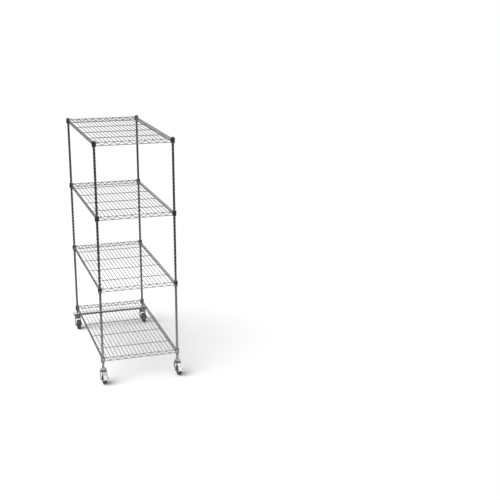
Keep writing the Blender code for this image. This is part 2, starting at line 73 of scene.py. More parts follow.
# Shelves: heights are measured from the middle of a corner collar. The weld beads are (X, Y, Z),
# or (along, height, across) on the snake wire
COLLAR_TOP = 0.0175
COLLAR_LOW = -0.0170
COLLAR_TOP_RADIUS = 0.0150
COLLAR_LOW_RADIUS = 0.0144
COLLAR_LIP = 0.0006
SLEEVE_TOP = 0.0190
SLEEVE_LOW = -0.0236
SLEEVE_TOP_RADIUS = 0.0102
SLEEVE_LOW_RADIUS = 0.0113
SLEEVE_SLIT = math.radians(9)
SLEEVE_PLAY = 0.00015
SLEEVE_EDGE = 0.0006
DECK_WIRES = 19
DECK_WIRE = 0.0042
CROSS_WIRES = 4
CROSS_PITCH = 0.270
CROSS_WIRE = 0.0048
RAIL_WIRE = 0.0052
END_RAIL_WIRE = 0.0050
SNAKE_WIRE = 0.0044
RAIL_TOP_Z = 0.0090
RAIL_LOW_Z = -0.0140
RAIL_INSET_X = 0.002
WELD_SINK = 0.0005
SNAKE_BEND = 0.0075
SNAKE_BEAD = (0.0030, 0.0011, 0.0017)
SIDE_RAIL_BEAD = (0.0034, 0.0020, 0.0034)
END_RAIL_BEAD = (0.0020, 0.0034, 0.0034)
CROSS_BEAD = (0.0022, 0.0034, 0.0020)
DECK_BEAD = (0.0021, 0.0024, 0.0010)
DECK_END_BEAD = (0.0021, 0.0022, 0.0010)
# The side trusses take the darker wire chrome, which is painted shade. The end trusses take the lighter post
# chrome, which is painted light on them.
SHADED_SIDE_SKIN, END_SKIN = 0, 1

# Rear bar and the bolts of the plates below it
BAR_HEIGHT = 0.016
BAR_WALL = 0.002
BAR_CORNER = 0.0032
SPIGOT_RADIUS = 0.0063
SPIGOT_LENGTH = 0.034
PLATE_THICKNESS = 0.003
PLATE_CORNER = 0.006
PLATE_BOLTS = ((-0.022, -0.018), (0.022, -0.018), (0.022, 0.018), (-0.022, 0.018))

# Casters: f runs forwards from the swivel axis, towards -Y, and heights are from the floor
WHEEL_RADIUS = 0.038
TRAIL = 0.038
WHEEL_HALF = 0.013
HUB_RADIUS = 0.028
BOSS_HALF = 0.018
LEG_OUTER_X = 0.0235
LEG_THICKNESS = 0.0025
LEG_LOBE = 0.012
LEG_REAR, LEG_FRONT = -0.013, 0.014
CROWN_TOP = 0.0830
CROWN_LOW = 0.0800
CROWN_REACH = 0.0235
CUP_RADIUS = 0.0230
CUP_TOP = 0.0900
RACE = 0.0940
KINGPIN_RADIUS = 0.0050
KINGPIN_BORE = 0.0057
KINGPIN_HEAD_RADIUS = 0.0080
KINGPIN_HEAD_TOP, KINGPIN_BOTTOM = 0.0794, 0.0745
STEM_RADIUS = 0.0063
HORN_RADIUS = 0.0092
PIN_F, PIN_Z = 0.046, 0.084
PIN_HOLE = 0.0029
EAR_X, EAR_THICKNESS = 0.01525, 0.0025
SHOE_RADIUS, SHOE_THICKNESS = 0.0469, 0.0026
TOE_THICKNESS = 0.0024
CHEEK_X, CHEEK_THICKNESS = 0.0112, 0.0020
STRAP_EDGE = 0.0006
AXLE_RADIUS = 0.004
NUT_RADIUS = 0.0069
HUB_BORE = 0.0046
HUB_RIBS = 6
RIB_THICKNESS = 0.0018
BALL_RADIUS = 0.0017
BALL_CIRCLE = 0.0165
BALLS = 22
CAGE_OFFSET = 0.0022
CAGE_HALF_WALL, CAGE_HALF_HEIGHT = 0.0003, 0.0009

# Camera: millimetres, metres and degrees
LENS, SENSOR = 69.67, 36.0
CAMERA_AT = (-1.2813, -6.9236, 2.7051)
CAMERA_DROP, CAMERA_BEARING = 15.304, -18.283

# Studio. ROOM is the room's brightness against the sine of the height above the horizon, and
# FLOOR_MIRRORED how bright the metal sees the floor, against the distance behind the origin
ROOM = ((-1.0, 0.08), (0.0, 0.08), (0.12, 0.15), (0.25, 0.95), (0.45, 1.0), (1.0, 1.0))
ROOM_ON_FLOOR = 0.50
FLOOR_REACH = 2.35
FLOOR_TONE = 0.93
FLOOR_MIRRORED = ((-2.35, 0.05), (-1.65, 0.22), (-1.10, 0.90), (0.0, 0.13), (2.35, 0.13))
FLOOR_SIDES = 96
LAMP_SPREAD = 70
LAMP_POWER = 3.4
LAMP_HEIGHT = 40
LAMP_FROM = 190

# What a flat outline's two axes and its thickness become: (f, Z) and X, (X, Z) and Y, (Y, Z) and X
# for the bar, and (Y, X) and Z for a rib
SIDE_VIEW = Matrix(((0, 0, 1, 0), (-1, 0, 0, 0), (0, 1, 0, 0), (0, 0, 0, 1)))
FRONT_VIEW = Matrix(((1, 0, 0, 0), (0, 0, -1, 0), (0, 1, 0, 0), (0, 0, 0, 1)))
BAR_VIEW = Matrix(((0, 0, 1, 0), (1, 0, 0, 0), (0, 1, 0, 0), (0, 0, 0, 1)))
RIB_VIEW = Matrix(((0, 1, 0, 0), (1, 0, 0, 0), (0, 0, 1, 0), (0, 0, 0, 1)))


# --- mesh helpers --------------------------------------------------------------------------------


class Form:
    """Closed shells collected into one mesh. skin picks one of the piece's finishes for a shell."""

    def __init__(self):
        self.verts = []
        self.faces = []
        self.skins = []

    def add(self, part, matrix=None, skin=0):
        verts, faces = part
        start = len(self.verts)
        for v in verts:
            self.verts.append(matrix @ Vector(v) if matrix else Vector(v))
        self.faces += [[start + i for i in face] for face in faces]
        self.skins += [skin] * len(faces)
        return self

    def part(self):
        return self.verts, self.faces

    def mesh(self, name, crease=CREASE):
        bm = bmesh.new()
        points = [bm.verts.new(v) for v in self.verts]
        for face, skin in zip(self.faces, self.skins):
            bm.faces.new([points[i] for i in face]).material_index = skin
        return settle(bm, name, crease)


def settle(bm, name, crease):
    """Turns a bmesh into a smooth mesh whose edges are sharp from that angle on."""
    bmesh.ops.recalc_face_normals(bm, faces=bm.faces)
    mesh = bpy.data.meshes.new(name)
    bm.to_mesh(mesh)
    bm.free()
    return smoothed(mesh, crease)


def smoothed(mesh, crease):
    mesh.shade_smooth()
    mesh.set_sharp_from_angle(angle=math.radians(crease))
    return mesh


def shift(x=0.0, y=0.0, z=0.0):
    return Matrix.Translation((x, y, z))


def turn(degrees, axis):
    return Matrix.Rotation(math.radians(degrees), 4, axis)


def moved(part, matrix):
    return [matrix @ Vector(v) for v in part[0]], part[1]


def mirrored(profile):
    """A half profile followed by its mirror image, with the second number negated."""
    return [*profile, *[(a, -b) for a, b in reversed(profile)]]


def bridged(rows, sides):
    """Faces between rings of points that follow each other. A row may be a single point, a tip."""
    faces = []
    for low, high in zip(rows, rows[1:]):
        for i in range(sides):
            j = (i + 1) % sides
            loop = (low[i % len(low)], low[j % len(low)], high[j % len(high)], high[i % len(high)])
            face = list(dict.fromkeys(loop))
            if len(face) > 2:
                faces.append(face)
    return faces


def swept(size, count):
    """Faces of a strip made of count sections with size points each, closed at both ends."""
    faces = []
    for i in range(count - 1):
        for k in range(size):
            m = (k + 1) % size
            faces.append([i * size + k, i * size + m, (i + 1) * size + m, (i + 1) * size + k])
    faces.append(list(range(size)))
    faces.append([(count - 1) * size + k for k in range(size)])
    return faces


def lathe(profile, sides, ring=False):
    """Turns (radius, height) points about Z. A ring's profile is a loop clear of the axis."""
    verts, rows = [], []
    for radius, height in profile:
        count = sides if radius > 1e-6 else 1
        rows.append(range(len(verts), len(verts) + count))
        for i in range(count):
            a = math.tau * i / sides
            verts.append((radius * math.cos(a), radius * math.sin(a), height))
    if ring:
        rows.append(rows[0])
    return verts, bridged(rows, sides)


def wire(path, normal, radius, sides=10):
    """A round wire along a path that lies in a plane with that normal. Its ends are rounded over."""
    points = [Vector(p) for p in path]
    normal = Vector(normal).normalized()
    blunt = 0.35 * radius
    shoulder, shoulder_radius = 0.8 * blunt, 0.62 * radius
    verts, rows = [], []

    def ring(centre, along, r):
        side = along.cross(normal).normalized()
        start = len(verts)
        for i in range(sides):
            a = math.tau * i / sides
            verts.append(centre + normal * (r * math.cos(a)) + side * (r * math.sin(a)))
        rows.append(range(start, start + sides))

    def tip(point, along):
        rows.append([len(verts)])
        verts.append(point + along * blunt)

    first = (points[1] - points[0]).normalized()
    last = (points[-1] - points[-2]).normalized()
    tip(points[0], -first)
    ring(points[0] - first * shoulder, first, shoulder_radius)
    ring(points[0], first, radius)
    for before, here, after in zip(points, points[1:], points[2:]):
        along = ((here - before).normalized() + (after - here).normalized()).normalized()
        ring(here, along, radius)
    ring(points[-1], last, radius)
    ring(points[-1] + last * shoulder, last, shoulder_radius)
    tip(points[-1], last)
    return verts, bridged(rows, sides)


def rounded(points, radius, steps=4, closed=True):
    """The same flat outline with its corners rounded. radius is one number, or one for each corner.

    A corner that is straight already stays as it is, and no rounding takes half of a side or more.
    """
    straight, most_of_half = 1.54, 0.48
    out, count = [], len(points)
    for i, corner in enumerate(points):
        here = Vector(corner)
        r = radius[i] if isinstance(radius, (list, tuple)) else radius
        if r <= 0 or (not closed and i in (0, count - 1)):
            out.append(here)
            continue
        back = Vector(points[i - 1]) - here
        ahead = Vector(points[(i + 1) % count]) - here
        half = back.angle(ahead) / 2
        if half > straight:
            out.append(here)
            continue
        reach = min(r / math.tan(half), most_of_half * min(back.length, ahead.length))
        r = reach * math.tan(half)
        centre = here + (back.normalized() + ahead.normalized()).normalized() * (r / math.sin(half))
        a = here + back.normalized() * reach - centre
        b = here + ahead.normalized() * reach - centre
        spread = a.angle(b)
        for k in range(steps + 1):
            t = k / steps
            mixed = a * math.sin((1 - t) * spread) + b * math.sin(t * spread)
            out.append(centre + mixed / math.sin(spread))
    return [(p.x, p.y) for p in out]


def area_of(loop):
    return sum(a[0] * b[1] - b[0] * a[1] for a, b in zip(loop, loop[1:] + loop[:1])) / 2


def grown(loop, distance):
    """The loop moved outwards by that distance, or inwards where it is negative."""
    sharpest = 0.5
    sign = 1 if area_of(loop) > 0 else -1
    out = []
    for i, corner in enumerate(loop):
        here = Vector(corner)
        a = (here - Vector(loop[i - 1])).normalized()
        b = (Vector(loop[(i + 1) % len(loop)]) - here).normalized()
        na, nb = Vector((a.y, -a.x)) * sign, Vector((b.y, -b.x)) * sign
        across = (na + nb).normalized()
        out.append(tuple(here + across * distance / max(sharpest, across.dot(na))))
    return out


def circle(radius, sides, centre=(0.0, 0.0)):
    steps = [math.tau * i / sides for i in range(sides)]
    return [(centre[0] + radius * math.cos(a), centre[1] + radius * math.sin(a)) for a in steps]


def rectangle(half_x, half_y):
    return [(-half_x, -half_y), (half_x, -half_y), (half_x, half_y), (-half_x, half_y)]


def arc(centre, radius, start, end, steps):
    """Points on a circle from one angle to another, in degrees, ends included."""
    angles = [math.radians(start + (end - start) * i / steps) for i in range(steps + 1)]
    return [(centre[0] + radius * math.cos(a), centre[1] + radius * math.sin(a)) for a in angles]


def plate(outline, thickness, soft=0.0004, holes=()):
    """A flat outline in XY with eased rims, from Z = -thickness / 2 to +thickness / 2."""
    half = thickness / 2
    bm = bmesh.new()
    caps = {-half: [], half: []}
    for k, loop in enumerate((outline, *holes)):
        inner = grown(loop, -soft if k == 0 else soft)
        levels = ((inner, -half), (loop, soft - half), (loop, half - soft), (inner, half))
        rows = [[bm.verts.new((a, b, z)) for a, b in ring] for ring, z in levels]
        for low, high in zip(rows, rows[1:]):
            for i in range(len(loop)):
                bm.faces.new((low[i - 1], low[i], high[i], high[i - 1]))
        for z, row in ((-half, rows[0]), (half, rows[-1])):
            caps[z] += [bm.edges.get((row[i - 1], row[i])) for i in range(len(row))]
    for edges in caps.values():
        bmesh.ops.triangle_fill(bm, use_beauty=True, use_dissolve=False, edges=edges)
    bm.verts.index_update()
    part = [v.co.copy() for v in bm.verts], [[v.index for v in f.verts] for f in bm.faces]
    bm.free()
    return part


def hexagon(radius, height, chamfer):
    """A hexagonal head standing on Z = 0, its upper corners turned off."""
    corners, per_side = 6, 4
    verts, faces, rows = [], [], []
    levels = ((0.0, 0.96), (0.0004, 1.0), (height - chamfer, 1.0), (height, 0.86))
    for z, scale in levels:
        row = []
        for k in range(corners * per_side):
            a = math.tau * k / (corners * per_side)
            flat = math.cos(math.pi / corners) / math.cos(a % (math.tau / corners) - math.pi / corners)
            r = radius * (min(flat, scale) if scale < 1 else flat)
            row.append(len(verts))
            verts.append((r * math.cos(a), r * math.sin(a), z))
        rows.append(row)
    for low, high in zip(rows, rows[1:]):
        for i in range(len(low)):
            faces.append([low[i - 1], low[i], high[i], high[i - 1]])
    faces.append(rows[0][::-1])
    faces.append(rows[-1])
    return verts, faces


def nugget(at, size):
    """A ball, or a weld bead with a different size along each axis."""
    slopes = [math.radians(a) for a in (0, 35, 70, 110, 145, 180)]
    profile = [(math.sin(a), -math.cos(a)) for a in slopes]
    verts, faces = lathe([(max(r, 0.0), z) for r, z in profile], 8)
    return [Vector(at) + Vector(v) * Vector(size) for v in verts], faces


def mesh_of(part, name="part"):
    return Form().add(part).mesh(name)


def combined(name, first, steps, bevel=0.0):
    """One mesh made by adding to or cutting from the first part. bevel eases its edges."""
    helpers = [bpy.data.objects.new(name + "_a", mesh_of(first))]
    bpy.context.scene.collection.objects.link(helpers[0])
    for operation, part in steps:
        other = bpy.data.objects.new(name + "_b", mesh_of(part))
        bpy.context.scene.collection.objects.link(other)
        helpers.append(other)
        step = helpers[0].modifiers.new("join", "BOOLEAN")
        step.operation = operation
        step.solver = "EXACT"
        step.object = other
    if bevel:
        ease = helpers[0].modifiers.new("ease", "BEVEL")
        ease.width = bevel
        ease.segments = 2
        ease.limit_method = "ANGLE"
        ease.angle_limit = math.radians(EASE_ANGLE)
    graph = bpy.context.evaluated_depsgraph_get()
    mesh = bpy.data.meshes.new_from_object(helpers[0].evaluated_get(graph))
    mesh.name = name
    for helper in helpers:
        bpy.data.objects.remove(helper, do_unlink=True)
    mesh.materials.clear()
    return smoothed(mesh, CREASE)


def put(name, mesh, finish, body, nodes=(), at=(0, 0, 0)):
    """Places one piece, with its finish or finishes, its body and the solids that it stands for."""
    obj = bpy.data.objects.new(name, mesh)
    if not mesh.materials:
        for skin in finish if isinstance(finish, tuple) else (finish,):
            mesh.materials.append(skin)
    obj.location = at
    bpy.context.scene.collection.objects.link(obj)
    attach(obj, body)
    if nodes:
        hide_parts(*nodes)


# --- finishes ------------------------------------------------------------------------------------


def finish_of(name, tones, rough, metallic=0.0, *, patch, grain, relief, stretch=(1, 1, 1), specular=0.5):
    """A finish whose colour and roughness drift in patches, over a fine grain that dents the surface.

    tones are the darkest and lightest colour, rough the smoothest and roughest value. patch and grain
    are how many patches and grains there are to a metre, and relief is how strongly the grain dents.
    """
    material = bpy.data.materials.new(name)
    material.use_nodes = True
    nodes, links = material.node_tree.nodes, material.node_tree.links
    shader = nodes["Principled BSDF"]
    shader.inputs["Metallic"].default_value = metallic
    shader.inputs["Specular IOR Level"].default_value = specular
    place = nodes.new("ShaderNodeTexCoord")
    scale = nodes.new("ShaderNodeMapping")
    scale.inputs["Scale"].default_value = stretch
    links.new(place.outputs["Object"], scale.inputs["Vector"])
    drift = nodes.new("ShaderNodeTexNoise")
    drift.inputs["Scale"].default_value = patch
    drift.inputs["Detail"].default_value = 6.0
    drift.inputs["Roughness"].default_value = 0.6
    links.new(scale.outputs["Vector"], drift.inputs["Vector"])
    ramp = nodes.new("ShaderNodeValToRGB")
    ramp.color_ramp.elements[0].position = 0.30
    ramp.color_ramp.elements[0].color = (*tones[0], 1)
    ramp.color_ramp.elements[1].position = 0.70
    ramp.color_ramp.elements[1].color = (*tones[1], 1)
    links.new(drift.outputs["Fac"], ramp.inputs["Fac"])
    links.new(ramp.outputs["Color"], shader.inputs["Base Color"])
    fine = nodes.new("ShaderNodeTexNoise")
    fine.inputs["Scale"].default_value = grain
    fine.inputs["Detail"].default_value = 3.0
    links.new(scale.outputs["Vector"], fine.inputs["Vector"])
    both = nodes.new("ShaderNodeMath")
    both.operation = "MULTIPLY"
    links.new(drift.outputs["Fac"], both.inputs[0])
    links.new(fine.outputs["Fac"], both.inputs[1])
    spread = nodes.new("ShaderNodeMapRange")
    spread.inputs["From Min"].default_value = 0.12
    spread.inputs["From Max"].default_value = 0.42
    spread.inputs["To Min"].default_value = rough[0]
    spread.inputs["To Max"].default_value = rough[1]
    links.new(both.outputs["Value"], spread.inputs["Value"])
    links.new(spread.outputs["Result"], shader.inputs["Roughness"])
    dent = nodes.new("ShaderNodeBump")
    dent.inputs["Strength"].default_value = relief
    dent.inputs["Distance"].default_value = 0.0002
    links.new(fine.outputs["Fac"], dent.inputs["Height"])
    links.new(dent.outputs["Normal"], shader.inputs["Normal"])
    return material


def make_finishes():
    return {
        "post": finish_of("post_chrome", ((0.37, 0.374, 0.385), (0.45, 0.454, 0.462)), (0.05, 0.14), 1.0,
                          patch=60, grain=900, relief=0.05),
        # Painted shade: the wires' chrome is a darker copy of the posts' chrome, standing in for the shade
        # that the decks above cast on the wires
        "wire": finish_of("wire_chrome", ((0.24, 0.243, 0.25), (0.33, 0.333, 0.34)), (0.12, 0.30), 1.0,
                          patch=45, grain=1200, relief=0.08),
        "bar": finish_of("bar_steel", ((0.74, 0.745, 0.75), (0.88, 0.885, 0.89)), (0.12, 0.26), 1.0,
                         patch=22, stretch=(0.12, 1, 1), grain=900, relief=0.06),
        "zinc": finish_of("caster_zinc", ((0.42, 0.425, 0.435), (0.54, 0.542, 0.542)), (0.22, 0.42), 1.0,
                          patch=70, grain=1300, relief=0.10),
        "pedal": finish_of("pedal_steel", ((0.86, 0.865, 0.87), (0.97, 0.97, 0.97)), (0.16, 0.32), 1.0,
                           patch=80, grain=1300, relief=0.10),
        "sleeve": finish_of("sleeve_plastic", ((0.085, 0.086, 0.088), (0.125, 0.126, 0.128)), (0.42, 0.60),
                            patch=90, grain=2600, relief=0.25),
        "cap": finish_of("cap_plastic", ((0.016, 0.016, 0.017), (0.030, 0.030, 0.031)), (0.30, 0.46),
                         patch=90, grain=2200, relief=0.15),
        "tread": finish_of("tread_rubber", ((0.042, 0.042, 0.042), (0.085, 0.084, 0.083)), (0.55, 0.82),
                           patch=70, grain=1800, relief=0.35, specular=0.35),
        "hub": finish_of("hub_plastic", ((0.085, 0.088, 0.092), (0.135, 0.138, 0.142)), (0.34, 0.52),
                         patch=80, grain=2400, relief=0.18),
    }


# --- stage ---------------------------------------------------------------------------------------


def make_camera():
    """A long lens from the front left, looking CAMERA_DROP degrees down."""
    lens = bpy.data.cameras.new("camera")
    lens.lens = LENS
    lens.sensor_width = SENSOR
    camera = bpy.data.objects.new("camera", lens)
    camera.location = CAMERA_AT
    camera.rotation_euler = (math.radians(90 - CAMERA_DROP), 0.0, math.radians(CAMERA_BEARING))
    bpy.context.scene.collection.objects.link(camera)
    bpy.context.scene.camera = camera


def ramp_of(nodes, links, source, stops):
    """Grey tones along a value: stops are (value, tone) from the lowest value to the highest."""
    low, high = stops[0][0], stops[-1][0]
    share = nodes.new("ShaderNodeMapRange")
    share.inputs["From Min"].default_value = low
    share.inputs["From Max"].default_value = high
    links.new(source, share.inputs["Value"])
    ramp = nodes.new("ShaderNodeValToRGB")
    while len(ramp.color_ramp.elements) < len(stops):
        ramp.color_ramp.elements.new(0.5)
    for element, (at, tone) in zip(ramp.color_ramp.elements, stops):
        element.position = (at - low) / (high - low)
        element.color = (tone, tone, tone, 1)
    links.new(share.outputs["Result"], ramp.inputs["Fac"])
    return ramp.outputs["Color"]


def make_world():
    """White behind the object. Everything else sees a bright ceiling over a dim horizon.

    The floor and other dull surfaces get only a share of its light, and the lamp gives the rest.
    """
    world = bpy.data.worlds.new("studio")
    bpy.context.scene.world = world
    world.use_nodes = True
    nodes, links = world.node_tree.nodes, world.node_tree.links
    room = nodes["Background"]
    backdrop = nodes.new("ShaderNodeBackground")
    backdrop.inputs["Color"].default_value = (1, 1, 1, 1)
    place = nodes.new("ShaderNodeTexCoord")
    split = nodes.new("ShaderNodeSeparateXYZ")
    links.new(place.outputs["Generated"], split.inputs["Vector"])
    links.new(ramp_of(nodes, links, split.outputs["Z"], ROOM), room.inputs["Color"])
    seen = nodes.new("ShaderNodeLightPath")
    share = nodes.new("ShaderNodeMapRange")
    share.inputs["To Min"].default_value = 1.0
    share.inputs["To Max"].default_value = ROOM_ON_FLOOR
    links.new(seen.outputs["Is Diffuse Ray"], share.inputs["Value"])
    links.new(share.outputs["Result"], room.inputs["Strength"])
    mix = nodes.new("ShaderNodeMixShader")
    links.new(seen.outputs["Is Camera Ray"], mix.inputs["Fac"])
    links.new(room.outputs["Background"], mix.inputs[1])
    links.new(backdrop.outputs["Background"], mix.inputs[2])
    links.new(mix.outputs["Shader"], nodes["World Output"].inputs["Surface"])


def make_floor():
    """White paper that the metal reflects as a dimmer grey, as if the studio stopped close by."""
    mesh = bpy.data.meshes.new("floor")
    edge = [(x, y, 0) for x, y in circle(FLOOR_REACH, FLOOR_SIDES)]
    mesh.from_pydata(edge, [], [list(range(len(edge)))])
    floor = bpy.data.objects.new("floor", mesh)
    bpy.context.scene.collection.objects.link(floor)
    paper = bpy.data.materials.new("floor")
    paper.use_nodes = True
    nodes, links = paper.node_tree.nodes, paper.node_tree.links
    shader = nodes["Principled BSDF"]
    shader.inputs["Base Color"].default_value = (FLOOR_TONE, FLOOR_TONE, FLOOR_TONE, 1)
    shader.inputs["Roughness"].default_value = 0.9
    shader.inputs["Specular IOR Level"].default_value = 0.0
    dim = nodes.new("ShaderNodeEmission")
    place = nodes.new("ShaderNodeTexCoord")
    split = nodes.new("ShaderNodeSeparateXYZ")
    links.new(place.outputs["Object"], split.inputs["Vector"])
    links.new(ramp_of(nodes, links, split.outputs["Y"], FLOOR_MIRRORED), dim.inputs["Strength"])
    seen = nodes.new("ShaderNodeLightPath")
    mix = nodes.new("ShaderNodeMixShader")
    links.new(seen.outputs["Is Glossy Ray"], mix.inputs["Fac"])
    links.new(shader.outputs["BSDF"], mix.inputs[1])
    links.new(dim.outputs["Emission"], mix.inputs[2])
    links.new(mix.outputs["Shader"], nodes["Material Output"].inputs["Surface"])
    mesh.materials.append(paper)


def make_lights():
    """One broad soft lamp on the left. LAMP_FROM is its bearing from +X towards +Y, in degrees."""
    lamp = bpy.data.lights.new("softbox", "SUN")
    lamp.angle = math.radians(LAMP_SPREAD)
    lamp.energy = LAMP_POWER
    light = bpy.data.objects.new("softbox", lamp)
    light.visible_glossy = False
    light.rotation_euler = (0, math.radians(90 - LAMP_HEIGHT), math.radians(LAMP_FROM))
    bpy.context.scene.collection.objects.link(light)


# --- posts ---------------------------------------------------------------------------------------


def post_axis(corner):
    """Where the middle of a post stands, as (X, Y)."""
    low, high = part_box(f"post_{corner}")
    return (low.x + high.x) / 2, (low.y + high.y) / 2


def shelf_height(shelf):
    """The height of the middle of a shelf's collars."""
    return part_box(f"shelf_{shelf}_frame")[1].z - COLLAR_TOP


def post_radius():
    low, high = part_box("post_front_left")
    return (high.x - low.x) / 2


def post_mesh():
    """A tube with eased ends. Its grooves are counted from the middle of the lowest shelf's collars."""
    bottom, top = (corner.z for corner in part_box("post_front_left"))
    outer = post_radius()
    inner = outer - POST_WALL
    first = shelf_height(1)
    lowest = math.ceil((bottom - first) / GROOVE_PITCH)
    highest = math.floor((top - first) / GROOVE_PITCH)
    profile = [(inner, bottom), (outer - 0.0003, bottom), (outer, bottom + 0.0004)]
    for k in range(lowest, highest + 1):
        z = first + k * GROOVE_PITCH
        if bottom + GROOVE_CLEARANCE < z < top - GROOVE_CLEARANCE:
            profile += [(outer - GROOVE_DEPTH * deep, z + GROOVE_HALF * at) for at, deep in GROOVE_SECTION]
    profile += [(outer, top - 0.0004), (outer - 0.0003, top), (inner, top)]
    return mesh_of(lathe(profile, POST_SIDES, ring=True), "post")


def cap_mesh():
    """A domed cap on the post's rim, with a ribbed plug inside the tube."""
    low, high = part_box("post_cap_front_left")
    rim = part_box("post_front_left")[1].z
    outer = (high.x - low.x) / 2
    plug = outer - POST_WALL - GAP
    dome = high.z - rim
    profile = [(0, low.z), (plug - 0.0012, low.z), (plug - 0.0003, low.z + 0.0012)]
    for k in range(CAP_RIBS):
        z = low.z + 0.0030 + CAP_RIB_PITCH * k
        profile += [(plug - 0.0006, z - 0.0008), (plug, z), (plug - 0.0006, z + 0.0008)]
    edge_share, fullness = 0.45, 0.55
    profile += [(plug - 0.0006, rim + GAP), (outer - 0.0002, rim + GAP), (outer, rim + edge_share * dome)]
    for degrees in range(15, 90, 15):
        a = math.radians(degrees)
        height = rim + dome * (edge_share + (1 - edge_share) * math.sin(a))
        profile.append((outer * math.cos(a) ** fullness, height))
    profile.append((0.0, rim + dome))
    return mesh_of(lathe(profile, 32), "post_cap")


def make_posts(finish):
    post, cap = post_mesh(), cap_mesh()
    for corner in CORNERS:
        at = (*post_axis(corner), 0)
        put(f"post_tube_{corner}", post, finish["post"], "rack", [f"post_{corner}"], at)
        put(f"end_cap_{corner}", cap, finish["cap"], "rack", [f"post_cap_{corner}"], at)


# --- shelves -------------------------------------------------------------------------------------


def taper(z):
    """The sleeves' outer radius at a height."""
    slope = (SLEEVE_LOW_RADIUS - SLEEVE_TOP_RADIUS) / (SLEEVE_TOP - SLEEVE_LOW)
    return SLEEVE_TOP_RADIUS + slope * (SLEEVE_TOP - z)


def sleeve_mesh():
    """One half of a tapered split sleeve, with a bead inside that sits in the post's groove."""
    bore = post_radius() + SLEEVE_PLAY
    low_edge, high_edge = SLEEVE_LOW + SLEEVE_EDGE, SLEEVE_TOP - SLEEVE_EDGE
    loop = [(bore, low_edge), (bore + 0.0005, SLEEVE_LOW), (SLEEVE_LOW_RADIUS - SLEEVE_EDGE, SLEEVE_LOW)]
    loop += [(taper(z), z) for z in (low_edge, SLEEVE_LOW + 0.0030, 0.0, high_edge)]
    loop += [(SLEEVE_TOP_RADIUS - SLEEVE_EDGE, SLEEVE_TOP), (bore + 0.0003, SLEEVE_TOP)]
    loop += [(bore, SLEEVE_TOP - 0.0004), (bore, 0.0012), (bore - 0.0004, 0.0), (bore, -0.0012)]
    steps = 18
    verts = []
    for i in range(steps + 1):
        a = SLEEVE_SLIT / 2 + (math.pi - SLEEVE_SLIT) * i / steps
        verts += [(r * math.cos(a), r * math.sin(a), z) for r, z in loop]
    return mesh_of((verts, swept(len(loop), steps + 1)), "sleeve_half")


def collar_part():
    """A conical collar with rolled edges, whose bore follows the sleeve's taper."""
    loop = []
    for radius, z, out, up, start in (
        (taper(COLLAR_LOW) + GAP, COLLAR_LOW, 1, 1, 180),
        (COLLAR_LOW_RADIUS, COLLAR_LOW, -1, 1, 270),
        (COLLAR_TOP_RADIUS, COLLAR_TOP, -1, -1, 0),
        (taper(COLLAR_TOP) + GAP, COLLAR_TOP, 1, -1, 90),
    ):
        centre = (radius + out * COLLAR_LIP, z + up * COLLAR_LIP)
        loop += arc(centre, COLLAR_LIP, start, start + 90, 3)
    return lathe(loop, 40, ring=True)


def spacing():
    """Half the distances between the posts, across and along the rack, and the deck's wire pitch."""
    ax, ay = post_axis("front_left")
    bx, by = post_axis("rear_right")
    return (bx - ax) / 2, (by - ay) / 2, (bx - ax) / (DECK_WIRES + 1)


def zigzag(half_waves):
    """The snake wire's line as (along, height), and the heights of its crests and troughs.

    Its corners lie a little beyond the crests and troughs, because they are rounded later.
    """
    crest = RAIL_TOP_Z - RAIL_WIRE / 2 - SNAKE_WIRE / 2 + WELD_SINK
    trough = RAIL_LOW_Z + RAIL_WIRE / 2 + SNAKE_WIRE / 2 - WELD_SINK
    pitch = spacing()[2]
    lift = SNAKE_BEND * (1 / math.cos(math.atan((crest - trough) / pitch)) - 1)
    points = []
    for i in range(half_waves + 1):
        along = (i - half_waves / 2) * pitch
        points.append((along, crest + lift if i % 2 == 0 else trough - lift))
    return points, crest, trough


def truss(form, half_length, half_waves, rail_width, to_space, skin):
    """A top rail, a bottom rail and the snake wire between them, with weld beads where they meet.

    to_space turns (along, height, across) into a place about the middle of the shelf.
    """
    normal = Vector(to_space(0, 0, 1)) - Vector(to_space(0, 0, 0))
    end_height = (RAIL_TOP_Z + RAIL_LOW_Z) / 2
    for z in (RAIL_TOP_Z, RAIL_LOW_Z):
        line = [to_space(-half_length, z, 0), to_space(half_length, z, 0)]
        form.add(wire(line, normal, rail_width / 2, 12), skin=skin)
    points, crest, trough = zigzag(half_waves)
    line = [(-half_length, end_height), *points, (half_length, end_height)]
    line = rounded(line, SNAKE_BEND, 4, closed=False)
    form.add(wire([to_space(a, z, 0) for a, z in line], normal, SNAKE_WIRE / 2, 10), skin=skin)
    for i, (along, _) in enumerate(points):
        z = crest + SNAKE_WIRE / 2 if i % 2 == 0 else trough - SNAKE_WIRE / 2
        size = Vector(to_space(*SNAKE_BEAD)) - Vector(to_space(0, 0, 0))
        form.add(nugget(to_space(along, z, 0), [abs(s) for s in size]), skin=skin)


